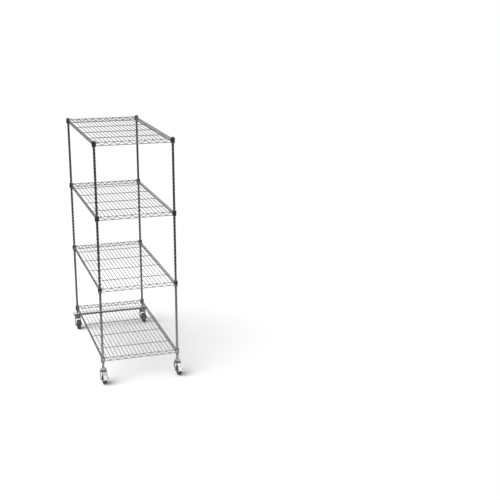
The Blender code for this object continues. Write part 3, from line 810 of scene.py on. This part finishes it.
def frame_mesh():
    """A shelf's welded rim, about the middle of the shelf: four collars joined by four trusses.

    The side trusses have the first of its two finishes, a darker chrome that paints shade on them, and the
    collars and end trusses the second, the lighter post chrome.
    """
    half_x, half_y, pitch = spacing()
    rail_x = half_x - RAIL_INSET_X
    form = Form()
    ring = collar_part()
    for x in (-half_x, half_x):
        for y in (-half_y, half_y):
            form.add(ring, shift(x, y, 0), skin=END_SKIN)
    wall = SLEEVE_LOW_RADIUS + 0.0018
    side_waves = int(2 * (half_y - COLLAR_TOP_RADIUS) / pitch)
    for x in (-rail_x, rail_x):
        along_y = lambda a, z, n, x=x: (x + n, a, z)
        truss(form, half_y - wall, side_waves, RAIL_WIRE, along_y, SHADED_SIDE_SKIN)
    for y in (-half_y, half_y):
        along_x = lambda a, z, n, y=y: (a, y + n, z)
        truss(form, half_x - wall, DECK_WIRES - 1, END_RAIL_WIRE, along_x, END_SKIN)
    face = COLLAR_TOP_RADIUS - 0.0002
    for sx in (-1, 1):
        for sy in (-1, 1):
            for z in (RAIL_TOP_Z, RAIL_LOW_Z):
                form.add(nugget((sx * rail_x, sy * (half_y - face), z), SIDE_RAIL_BEAD))
                form.add(nugget((sx * (half_x - face), sy * half_y, z), END_RAIL_BEAD))
    return form.mesh("shelf_rim")


def deck_mesh():
    """A shelf's deck: long wires welded on top of the end rails and of four cross wires."""
    half_x, half_y, pitch = spacing()
    deck_low, deck_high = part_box("shelf_1_deck")
    deck_z = deck_high.z - shelf_height(1) - DECK_WIRE / 2
    long_y = (deck_high.y - deck_low.y) / 2 - 0.0006
    cross_x = half_x - RAIL_INSET_X - 0.0010
    cross_z = deck_z - DECK_WIRE / 2 - CROSS_WIRE / 2 + WELD_SINK
    form = Form()
    places_x = [(i - (DECK_WIRES - 1) / 2) * pitch for i in range(DECK_WIRES)]
    places_y = [(i - (CROSS_WIRES - 1) / 2) * CROSS_PITCH for i in range(CROSS_WIRES)]
    for y in places_y:
        form.add(wire([(-cross_x, y, cross_z), (cross_x, y, cross_z)], (0, 0, 1), CROSS_WIRE / 2, 12))
        for side in (-1, 1):
            form.add(nugget((side * cross_x, y, cross_z), CROSS_BEAD))
    touch_z = deck_z - DECK_WIRE / 2
    for x in places_x:
        form.add(wire([(x, -long_y, deck_z), (x, long_y, deck_z)], (0, 0, 1), DECK_WIRE / 2, 10))
        for y in places_y:
            form.add(nugget((x, y, touch_z), DECK_BEAD))
        for y in (-half_y, half_y):
            form.add(nugget((x, y, touch_z), DECK_END_BEAD))
    return form.mesh("shelf_deck")


def make_shelves(finish):
    rim, deck, half = frame_mesh(), deck_mesh(), sleeve_mesh()
    other_half = half.copy()
    other_half.transform(turn(180, "Z"))
    middle_y = (post_axis("front_left")[1] + post_axis("rear_left")[1]) / 2
    # The first finish paints shade on the side trusses as a darker chrome; the second, the post chrome, keeps
    # the end trusses and collars lighter
    chrome = (finish["wire"], finish["post"])
    for n in SHELVES:
        at = (0, middle_y, shelf_height(n))
        put(f"shelf_{n}_rim", rim, chrome, "rack", [f"shelf_{n}_frame"], at)
        # The deck wires take the darker wire chrome, which is painted shade
        put(f"shelf_{n}_wires", deck, finish["wire"], "rack", [f"shelf_{n}_deck"], at)
        for corner in CORNERS:
            at = (*post_axis(corner), shelf_height(n))
            node = f"sleeve_{n}_{corner}"
            put(f"{node}_back", half, finish["sleeve"], "rack", [node], at)
            put(f"{node}_front", other_half, finish["sleeve"], "rack", [], at)


# --- rear bar ------------------------------------------------------------------------------------


def bar_mesh():
    """A flat tube with rounded corners, round openings for the posts and a spigot welded in each."""
    low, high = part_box("rear_bar")
    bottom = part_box("caster_plate_rear_left")[1].z + GAP
    top = bottom + BAR_HEIGHT
    middle_y, middle_z = (low.y + high.y) / 2, (bottom + top) / 2
    outline = rounded(rectangle((high.y - low.y) / 2, BAR_HEIGHT / 2), BAR_CORNER, 5)
    tube = plate(outline, high.x - low.x, 0.0003, [grown(outline, -BAR_WALL)])
    tube = moved(tube, shift(0, middle_y, middle_z) @ BAR_VIEW)
    hole, rim, above = post_radius() + 0.0006, post_radius() + 0.0016, top + 0.003
    opening = [(0, middle_z), (hole, middle_z), (hole, top - 0.0006)]
    opening += [(rim, top + 0.0002), (rim, above), (0, above)]
    post_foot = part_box("post_rear_left")[0].z
    foot, tip = post_foot - BAR_WALL / 2, post_foot + SPIGOT_LENGTH
    spigot = [(0, foot), (SPIGOT_RADIUS, foot), (SPIGOT_RADIUS, tip - 0.002), (0.0050, tip), (0, tip)]
    holes, spigots = Form(), Form()
    for corner in REAR_CORNERS:
        holes.add(lathe(opening, 40), shift(*post_axis(corner)))
        spigots.add(lathe(spigot, 24), shift(*post_axis(corner)))
    return combined("rear_bar", tube, [("DIFFERENCE", holes.part()), ("UNION", spigots.part())])


def bolt_mesh():
    """A flanged hexagon bolt, pointing up through the caster plate, measured from the plate's underside."""
    form = Form()
    form.add(lathe([(0, -0.0008), (0.0042, -0.0008), (0.0046, -0.0004), (0.0046, -0.0001), (0, -0.0001)], 24))
    form.add(hexagon(0.0037, 0.0026, 0.0005), shift(0, 0, -0.0008) @ turn(180, "X"))
    form.add(lathe([(0, -0.0004), (0.0019, -0.0004), (0.0019, 0.0085), (0.0014, 0.0090), (0, 0.0090)], 16))
    return form.mesh("plate_bolt", 30)


def make_bar(finish):
    put("rear_bar_tube", bar_mesh(), finish["bar"], "rack", ["rear_bar"])
    bolt = bolt_mesh()
    for corner in REAR_CORNERS:
        x, y = post_axis(corner)
        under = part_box(f"caster_plate_{corner}")[1].z - PLATE_THICKNESS
        for i, (dx, dy) in enumerate(PLATE_BOLTS, 1):
            at = (x + dx, y + dy, under)
            put(f"plate_bolt_{corner}_{i}", bolt, finish["zinc"], "rack", [], at)


# --- casters -------------------------------------------------------------------------------------


def kingpin_profile():
    """From the race inwards and down to the domed, riveted head."""
    return [
        (0.0190, RACE), (0.0185, RACE + 0.0009), (0.0165, RACE + 0.0016), (0.0145, RACE + 0.0009),
        (0.0140, RACE), (KINGPIN_RADIUS, RACE), (KINGPIN_RADIUS, KINGPIN_HEAD_TOP),
        (0.0076, KINGPIN_HEAD_TOP), (KINGPIN_HEAD_RADIUS, 0.0788), (0.0074, 0.0766),
        (0.0058, 0.0751), (0.0030, KINGPIN_BOTTOM), (0, KINGPIN_BOTTOM),
    ]


def stem_mesh():
    """The stem, its trumpet-shaped upper race and the kingpin that the fork turns on."""
    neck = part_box("post_front_left")[0].z - GAP
    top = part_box("caster_stem_front_left")[1].z
    horn = [(HORN_RADIUS, neck), (0.0096, neck - 0.0016), (0.0106, neck - 0.0045), (0.0124, neck - 0.0080)]
    horn += [(0.0148, neck - 0.0110), (0.0178, neck - 0.0134), (0.0210, neck - 0.0148)]
    rim = [(0.0224, RACE + 0.0022), (CUP_RADIUS, RACE + 0.0016), (CUP_RADIUS, RACE + 0.0006), (0.0225, RACE)]
    stem = [(0, top), (0.0050, top), (STEM_RADIUS, top - 0.0018), (STEM_RADIUS, neck), (0.0088, neck)]
    return mesh_of(lathe(stem + horn + rim + kingpin_profile(), 48), "caster_stem")


def plate_mesh():
    """The plate under the rear bar, its corners rounded, with a dished upper race and kingpin."""
    low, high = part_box("caster_plate_rear_left")
    bottom = high.z - PLATE_THICKNESS
    outline = rounded(rectangle((high.x - low.x) / 2, (high.y - low.y) / 2), PLATE_CORNER, 5)
    flat = moved(plate(outline, PLATE_THICKNESS, 0.0005), shift(0, 0, bottom + PLATE_THICKNESS / 2))
    dish = [(0, bottom + 0.001), (0.0196, bottom + 0.001), (0.0200, bottom), (0.0208, bottom - 0.0022)]
    dish += [(0.0216, bottom - 0.0060), (0.0224, bottom - 0.0098), (CUP_RADIUS, RACE + 0.0012)]
    dish += [(CUP_RADIUS, RACE + 0.0005), (0.0225, RACE)]
    return combined("caster_plate", flat, [("UNION", lathe(dish + kingpin_profile(), 48))])


def bearing_mesh():
    """A ring of balls between the two rings of their cage."""
    form = Form()
    middle = (CUP_TOP + RACE) / 2
    for x, y in circle(BALL_CIRCLE, BALLS):
        form.add(nugget((x, y, middle), (BALL_RADIUS,) * 3))
    for radius in (BALL_CIRCLE - CAGE_OFFSET, BALL_CIRCLE + CAGE_OFFSET):
        section = rectangle(CAGE_HALF_WALL, CAGE_HALF_HEIGHT)
        form.add(lathe([(radius + a, middle + b) for a, b in section], 48, ring=True))
    return form.mesh("ball_race", 50)


def leg_outline():
    """The fork from the side as (f, height)."""
    lobe = arc((TRAIL, WHEEL_RADIUS), LEG_LOBE, 228, 448, 16)
    corners = [(LEG_REAR, CROWN_TOP), (LEG_REAR, 0.052), (-0.004, 0.042)]
    instep = [(0.028, 0.056), (LEG_FRONT, 0.066), (LEG_FRONT, CROWN_TOP)]
    points = corners + lobe + instep
    radii = [0.0, 0.012, 0.020] + [0.0] * len(lobe) + [0.014, 0.010, 0.0]
    return rounded(points, radii, 5)


def ear_outline():
    """One of the two ears that hold the toe brake's pin, from the side as (f, height)."""
    points = [(LEG_FRONT, 0.0806), (0.052, 0.0788), (0.0545, 0.0845), (0.049, 0.0897)]
    points += [(0.041, 0.0897), (0.028, 0.0868), (LEG_FRONT, 0.0856)]
    return rounded(points, [0, 0.004, 0.0045, 0.0045, 0.006, 0.006, 0], 4)


def fork_mesh(braked):
    """A pressed fork: a channel bent round the wheel, trimmed to its side outline, with a dished cup."""
    sharp, foot = 0.0001, 0.020
    outer = [(-LEG_OUTER_X, foot), (-LEG_OUTER_X, CROWN_TOP), (LEG_OUTER_X, CROWN_TOP), (LEG_OUTER_X, foot)]
    inner_x = LEG_OUTER_X - LEG_THICKNESS
    inner = [(inner_x, foot), (inner_x, CROWN_LOW), (-inner_x, CROWN_LOW), (-inner_x, foot)]
    channel = rounded(outer, [0, 0.0045, 0.0045, 0], 5) + rounded(inner, [0, 0.0022, 0.0022, 0], 5)
    bent = moved(plate(channel, 0.16, sharp), FRONT_VIEW)
    axle_hole = circle(AXLE_RADIUS + GAP, 24, (TRAIL, WHEEL_RADIUS))
    trim = moved(plate(leg_outline(), 0.08, sharp, [axle_hole]), SIDE_VIEW)
    side, tip = LEG_OUTER_X - 0.0012, CROWN_REACH / 2
    crown = [(-side, -LEG_FRONT), (-tip, -CROWN_REACH), (tip, -CROWN_REACH), (side, -LEG_FRONT)]
    crown += [(side, -LEG_REAR), (tip, CROWN_REACH), (-tip, CROWN_REACH), (-side, -LEG_REAR)]
    crown = rounded(crown, [0.004, 0.012, 0.012, 0.004] * 2, 5)
    table = plate(crown, CROWN_TOP - CROWN_LOW - 0.0004, sharp)
    table = moved(table, shift(0, 0, (CROWN_TOP + CROWN_LOW) / 2))
    bowl = [(0.0120, CROWN_LOW + 0.001), (0.0180, CROWN_LOW + 0.001), (0.0190, CROWN_TOP - 0.0002)]
    bowl += [(0.0204, CROWN_TOP + 0.0016), (0.0221, CROWN_TOP + 0.0030), (0.0229, CROWN_TOP + 0.0045)]
    bowl += [(CUP_RADIUS, CUP_TOP - 0.0008), (0.0227, CUP_TOP - 0.0001), (0.0220, CUP_TOP)]
    bowl += [(0.0213, CUP_TOP - 0.0004), (0.0206, CUP_TOP - 0.0014), (0.0190, CUP_TOP - 0.0022)]
    bowl += [(0.0165, CUP_TOP - 0.0026), (0.0135, CUP_TOP - 0.0022), (0.0110, CUP_TOP - 0.0008)]
    bowl += [(KINGPIN_BORE + 0.0006, CUP_TOP - 0.0006), (KINGPIN_BORE + 0.0006, CROWN_TOP - 0.001)]
    steps = [("INTERSECT", trim), ("UNION", table), ("UNION", lathe(bowl, 48, ring=True))]
    if braked:
        ear = plate(ear_outline(), EAR_THICKNESS, sharp, [circle(PIN_HOLE, 16, (PIN_F, PIN_Z))])
        steps += [("UNION", moved(ear, shift(x) @ SIDE_VIEW)) for x in (-EAR_X, EAR_X)]
    bore = [(0, 0.070), (KINGPIN_BORE, 0.070), (KINGPIN_BORE, 0.096), (0, 0.096)]
    steps.append(("DIFFERENCE", lathe(bore, 32)))
    return combined("fork", bent, steps, bevel=0.00045)


def axle_mesh():
    """The axle bolt along X with its washers, spacers and lock nut."""
    form = Form()
    right, left = turn(90, "Y"), turn(-90, "Y")
    outer = LEG_OUTER_X
    end, head = -0.0285, outer + 0.001
    shank = [(0, end), (0.0030, end), (AXLE_RADIUS, end + 0.0010), (AXLE_RADIUS, head), (0, head)]
    form.add(lathe(shank, 24), right)
    washer = [(0.0030, 0.0), (0.0080, 0.0), (0.0083, 0.0003)]
    washer += [(0.0083, 0.0007), (0.0080, 0.0010), (0.0030, 0.0010)]
    spacer = [(0.0041, 0.0), (0.0066, 0.0), (0.0070, 0.0004)]
    spacer += [(0.0070, 0.0020), (0.0066, 0.0024), (0.0041, 0.0024)]
    for side, facing in ((-1, left), (1, right)):
        form.add(lathe(washer, 32, ring=True), shift(side * (outer + 0.0001)) @ facing)
        form.add(lathe(spacer, 28, ring=True), shift(side * (BOSS_HALF + GAP)) @ facing)
    form.add(hexagon(NUT_RADIUS, 0.0033, 0.0006), shift(outer + 0.0011) @ right)
    form.add(hexagon(NUT_RADIUS, 0.0026, 0.0004), shift(-outer - 0.0011) @ left)
    collar = [(0.0032, 0.0), (0.0056, 0.0), (0.0056, 0.0009), (0.0050, 0.0014), (0.0034, 0.0014)]
    form.add(lathe(collar, 28, ring=True), shift(-outer - 0.0036) @ left)
    return form.mesh("axle", 30)


def tread_mesh():
    """The tyre along X: a crowned tread with a mould line, rounded shoulders and a grooved side wall."""
    half, r = WHEEL_HALF, WHEEL_RADIUS
    side = [
        (HUB_RADIUS + GAP, half - 0.0006), (HUB_RADIUS + 0.0008, half), (0.0300, half),
        (0.0306, half - 0.0006), (0.0316, half - 0.0006), (0.0322, half), (0.0345, half - 0.0001),
        (0.0360, half - 0.0009), (0.0371, half - 0.0024), (r - 0.0004, half - 0.0046),
        (r - 0.0001, half - 0.0075), (r, 0.0030), (r, 0.0004),
    ]
    profile = [*side, (r + 0.00012, 0.0), *[(a, -b) for a, b in reversed(side)]]
    return mesh_of(moved(lathe(profile, 72, ring=True), turn(90, "Y")), "wheel_tread")


def hub_mesh():
    """The wheel's moulded centre along X: rim, web with ribs on both sides, and a boss."""
    half = WHEEL_HALF - 0.001
    side = [
        (HUB_BORE, BOSS_HALF), (0.0092, BOSS_HALF), (0.0098, BOSS_HALF - 0.0006), (0.0104, 0.0070),
        (0.0116, 0.0054), (0.0140, 0.0048), (0.0228, 0.0046), (0.0244, 0.0056), (0.0252, 0.0078),
        (0.0255, half - 0.0008), (0.0261, half), (0.0274, half), (HUB_RADIUS, half - 0.0006),
    ]
    form = Form().add(lathe(mirrored(side), 60, ring=True), turn(90, "Y"))
    rib = [(0.0095, 0.0040), (0.0262, 0.0040), (0.0262, 0.0092), (0.0095, 0.0150)]
    rib = plate(rounded(rib, [0, 0, 0.001, 0], 2), RIB_THICKNESS, 0.0003)
    step = 360 / HUB_RIBS
    for k in range(HUB_RIBS):
        form.add(rib, turn(step * k, "X") @ RIB_VIEW)
        form.add(rib, turn(step * (k + 0.5), "X") @ Matrix.Diagonal((-1, 1, 1, 1)) @ RIB_VIEW)
    return form.mesh("wheel_hub", 30)


def strap(line, widths, thickness):
    """A bent strip: line holds (f, height) points, widths the half width at each, and X is across."""
    points = [Vector(p) for p in line]
    verts = []
    for i, here in enumerate(points):
        a = points[max(i - 1, 0)]
        b = points[min(i + 1, len(points) - 1)]
        along = (b - a).normalized()
        up = Vector((-along.y, along.x))
        w, h, e = widths[i], thickness / 2, STRAP_EDGE
        section = [(-w + e, -h), (w - e, -h), (w, e - h), (w, h - e)]
        section += [(w - e, h), (-w + e, h), (-w, h - e), (-w, e - h)]
        for across, level in section:
            spot = here + up * level
            verts.append((across, -spot.x, spot.y))
    return verts, swept(len(verts) // len(points), len(points))


def pedal_mesh():
    """The toe brake: a shoe curved round the wheel's front, a narrow release toe over a wide one, both
    with raised grips, and two cheeks on the pin."""
    form = Form()
    shoe = arc((TRAIL, WHEEL_RADIUS), SHOE_RADIUS, 82, 11, 18)
    form.add(strap(shoe, [0.0095, 0.0112] + [0.0128] * 16 + [0.0120], SHOE_THICKNESS))
    neck = [(0.0650, 0.0760), (0.0690, 0.0765), (0.0725, 0.0778)]
    neck += [(0.0755, 0.0795), (0.0780, 0.0812), (0.0795, 0.0828)]
    form.add(strap(neck, [0.0080, 0.0085, 0.0095, 0.0100, 0.0090, 0.0060], TOE_THICKNESS))
    toe = [(0.0835, 0.0482), (0.0860, 0.0502), (0.0885, 0.0507)]
    toe += [(0.0915, 0.0502), (0.0936, 0.0492), (0.0948, 0.0478)]
    form.add(strap(toe, [0.0140, 0.0185, 0.0198, 0.0199, 0.0192, 0.0165], TOE_THICKNESS))
    grips = [(0.0878, 0.0517, 0.0165, 0.0006), (0.0898, 0.0515, 0.0168, 0.0006)]
    grips += [(0.0918, 0.0510, 0.0165, 0.0006), (0.0738, 0.0795, 0.0072, 0.0005)]
    grips += [(0.0758, 0.0807, 0.0075, 0.0005)]
    for f, z, half, radius in grips:
        form.add(wire([(-half, -f, z), (half, -f, z)], (0, 0, 1), radius, 8))
    cheek = [(0.0425, 0.0825), (0.0440, 0.0878), (0.0485, 0.0878), (0.0530, 0.0835)]
    cheek += [(0.0620, 0.0800), (0.0690, 0.0740), (0.0660, 0.0700), (0.0560, 0.0790)]
    cheek = rounded(cheek, [0.002, 0.004, 0.004, 0.006, 0.006, 0.003, 0.002, 0.010], 4)
    for x in (-CHEEK_X, CHEEK_X):
        form.add(plate(cheek, CHEEK_THICKNESS, 0.0003), shift(x) @ SIDE_VIEW)
    pin = [(0, -0.0181), (0.0026, -0.0181), (0.0038, -0.0174), (0.0038, -0.0168), (0.0025, -0.0168)]
    form.add(lathe(mirrored(pin), 24), shift(0, -PIN_F, PIN_Z) @ turn(90, "Y"))
    return form.mesh("toe_brake", 34)


def make_casters(finish):
    stem, saddle, race = stem_mesh(), plate_mesh(), bearing_mesh()
    forks = {True: fork_mesh(True), False: fork_mesh(False)}
    axle, tread, hub, pedal = axle_mesh(), tread_mesh(), hub_mesh(), pedal_mesh()
    for corner in CORNERS:
        x, y = post_axis(corner)
        at, axle_at = (x, y, 0), (x, y - TRAIL, WHEEL_RADIUS)
        braked = corner in FRONT_CORNERS
        body, wheel = f"caster_{corner}", f"wheel_{corner}"
        zinc, rubber, plastic = finish["zinc"], finish["tread"], finish["hub"]
        if braked:
            put(f"stem_{corner}", stem, zinc, "rack", [f"caster_stem_{corner}"], at)
            put(f"toe_brake_{corner}", pedal, finish["pedal"], f"pedal_{corner}",
                [f"brake_pedal_{corner}"], at)
        else:
            put(f"plate_{corner}", saddle, zinc, "rack", [f"caster_plate_{corner}"], at)
        put(f"ball_race_{corner}", race, zinc, body, [f"swivel_bearing_{corner}"], at)
        put(f"fork_shell_{corner}", forks[braked], zinc, body, [f"fork_{corner}"], at)
        put(f"axle_bolt_{corner}", axle, zinc, body, [f"axle_{corner}"], axle_at)
        put(f"tread_{corner}", tread, rubber, wheel, [f"wheel_tread_{corner}"], axle_at)
        put(f"hub_{corner}", hub, plastic, wheel, [f"wheel_hub_{corner}"], axle_at)


def main():
    make_camera()
    make_world()
    make_floor()
    make_lights()
    bpy.context.scene.view_settings.view_transform = "Standard"
    finish = make_finishes()
    make_posts(finish)
    make_shelves(finish)
    make_bar(finish)
    make_casters(finish)


main()
